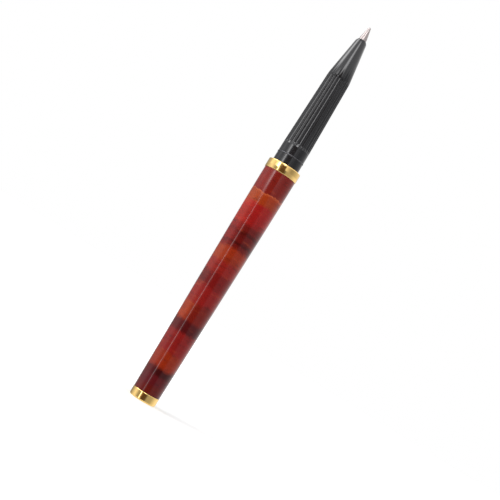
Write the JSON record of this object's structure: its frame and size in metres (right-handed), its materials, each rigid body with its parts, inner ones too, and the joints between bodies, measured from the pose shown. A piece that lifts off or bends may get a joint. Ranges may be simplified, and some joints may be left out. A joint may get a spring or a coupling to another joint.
{
  "type": "rollerball pen",
  "caption": "Uncapped rollerball pen with a banded tortoise resin barrel, gilt ferrule and centre ring, a fluted black section that screws off, and a spring-loaded refill.",
  "frame": {"origin": "centre of the flat tail face, on the pen's axis", "axes": "+Z along the pen's axis from the tail to the point; X and Y are across the pen"},
  "size_m": [0.0104, 0.0104, 0.127],
  "materials": {
    "gilt": "polished",
    "brass": "satin",
    "steel": "satin",
    "tortoise_resin": "gloss, in red, orange and maroon bands",
    "black_plastic": "gloss",
    "white_plastic": "matte",
    "film": "clear film",
    "inky_fibre": "matte fibre, soaked in ink"
  },
  "bodies": {
    "barrel": {"tail_ferrule": "gilt", "barrel_sleeve": "tortoise_resin", "barrel_core_tube": "brass", "barrel_bush": "brass", "centre_ring": "gilt", "tail_plug": "brass", "tail_stud": "brass", "refill_spring": "steel"},
    "refill": {"refill_tube": "steel", "refill_end_plug": "black_plastic", "reservoir_sheath": "film", "ink_reservoir": "inky_fibre", "feed_wick": "inky_fibre", "refill_neck": "white_plastic", "tip_cone": "steel"},
    "section": {"grip_section": "black_plastic", "snap_ring": "steel", "section_nipple": "brass"},
    "ball": {"writing_ball": "steel"}
  },
  "joints": [
    {"name": "refill_feed", "type": "slide", "parent": "barrel", "child": "refill", "axis": [0, 0, 1], "range_m": [0, 0.006], "deforming": ["refill_spring"]},
    {"name": "section_turn", "type": "hinge", "parent": "refill", "child": "section", "pos_m": [0, 0, 0.07885], "axis": [0, 0, 1], "range_deg": [0, 2160]},
    {"name": "ball_roll", "type": "hinge", "parent": "refill", "child": "ball", "pos_m": [0, 0, 0.12665], "axis": [1, 0, 0], "continuous": true}
  ],
  "couplings": [
    {"joint": "section_turn", "follows": "refill_feed", "rad_per_m": 6283.2}
  ]
}
